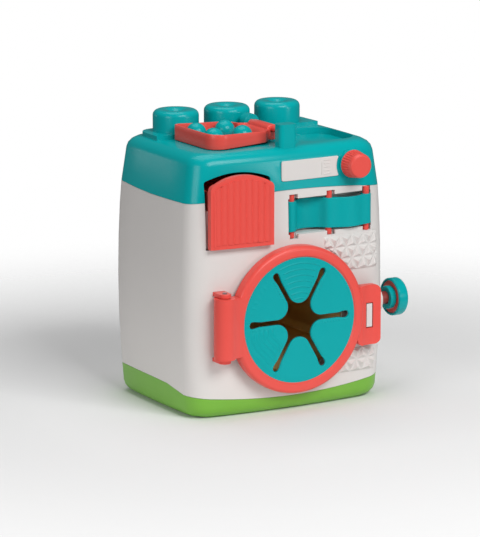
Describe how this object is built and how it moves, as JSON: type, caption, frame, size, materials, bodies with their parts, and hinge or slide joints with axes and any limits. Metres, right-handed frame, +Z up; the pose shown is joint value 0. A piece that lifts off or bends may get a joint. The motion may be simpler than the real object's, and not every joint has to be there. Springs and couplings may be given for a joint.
{
  "type": "toy_washing_machine",
  "caption": "Toddler's toy washing machine with a hinged porthole door, a hand-cranked drum, a drawer, a click knob, a tilting ball tray, a wavy band and building studs",
  "frame": {"origin": "middle of the flat underside, on the floor", "axes": "+X to the right as seen from the front, towards the crank; +Y towards the back, the door faces -Y; +Z up, away from the floor"},
  "size_m": [0.2494, 0.182, 0.27],
  "materials": {
    "white_plastic": "satin moulded plastic",
    "teal_plastic": "satin moulded plastic",
    "teal_soft": "soft matt moulded rubber",
    "red_plastic": "satin moulded plastic",
    "dark_red_plastic": "satin moulded plastic",
    "green_plastic": "satin moulded plastic",
    "orange_plastic": "satin moulded plastic",
    "steel": "zinc-plated steel",
    "grey_rubber": "matt rubber"
  },
  "bodies": {
    "casing": {"body_shell": "white_plastic", "rear_cover": "white_plastic", "rear_cover_screws": "steel", "top_cap": "teal_plastic", "cap_screws": "steel", "base_tray": "green_plastic", "base_screws": "steel", "foot_pads": "grey_rubber", "control_plate": "white_plastic", "window_box": "white_plastic", "band_rods": "red_plastic", "wavy_band": "teal_soft", "drawer_guide": "white_plastic", "hinge_bracket": "red_plastic", "hinge_pin": "steel", "drum_bush": "white_plastic", "crank_bush": "white_plastic", "click_finger": "steel"},
    "door": {"door_ring": "red_plastic", "door_membrane": "teal_soft", "membrane_clamp": "white_plastic"},
    "drawer_slider": {"drawer": "red_plastic"},
    "knob_turner": {"knob": "red_plastic", "click_wheel": "white_plastic", "knob_screw": "steel"},
    "drum_rotor": {"drum": "orange_plastic", "drum_gear": "white_plastic", "drum_axle": "steel", "drum_washer": "steel"},
    "crank": {"crank_shaft": "dark_red_plastic", "crank_pinion": "white_plastic", "shaft_clip": "steel", "crank_collar": "teal_plastic", "crank_disc": "red_plastic", "crank_rim": "teal_plastic", "crank_peg": "teal_plastic"},
    "tray": {"tilt_tray": "red_plastic"},
    "ball_a": {"ball_1": "teal_plastic"},
    "ball_b": {"ball_2": "teal_plastic"},
    "ball_c": {"ball_3": "teal_plastic"},
    "ball_d": {"ball_4": "teal_plastic"}
  },
  "joints": [
    {"name": "door_swing", "type": "hinge", "parent": "casing", "child": "door", "pos_m": [-0.0775, -0.0895, 0.088], "axis": [0, 0, -1], "range_deg": [0, 120]},
    {"name": "drawer_slide", "type": "slide", "parent": "casing", "child": "drawer_slider", "axis": [0, -1, 0], "range_m": [0, 0.07]},
    {"name": "knob_turn", "type": "hinge", "parent": "casing", "child": "knob_turner", "pos_m": [0.0655, -0.08, 0.226], "axis": [0, -1, 0], "continuous": true},
    {"name": "drum_spin", "type": "hinge", "parent": "casing", "child": "drum_rotor", "pos_m": [0, 0, 0.088], "axis": [0, 1, 0], "continuous": true},
    {"name": "crank_spin", "type": "hinge", "parent": "casing", "child": "crank", "pos_m": [0.11, -0.051, 0.088], "axis": [1, 0, 0], "continuous": true},
    {"name": "tray_tilt", "type": "hinge", "parent": "casing", "child": "tray", "pos_m": [0.005, -0.025, 0.258], "axis": [0, 1, 0], "range_deg": [0, 20]},
    {"name": "ball_spin_1", "type": "hinge", "parent": "tray", "child": "ball_a", "pos_m": [-0.0545, 0.004, 0.2565], "axis": [0, 0, 1], "continuous": true},
    {"name": "ball_spin_2", "type": "hinge", "parent": "tray", "child": "ball_b", "pos_m": [-0.024, 0.004, 0.2565], "axis": [0, 0, 1], "continuous": true},
    {"name": "ball_spin_3", "type": "hinge", "parent": "tray", "child": "ball_c", "pos_m": [-0.0545, -0.029, 0.2565], "axis": [0, 0, 1], "continuous": true},
    {"name": "ball_spin_4", "type": "hinge", "parent": "tray", "child": "ball_d", "pos_m": [-0.024, -0.029, 0.2565], "axis": [0, 0, 1], "continuous": true}
  ],
  "couplings": [
    {"joint": "crank_spin", "follows": "drum_spin", "ratio": -5}
  ]
}
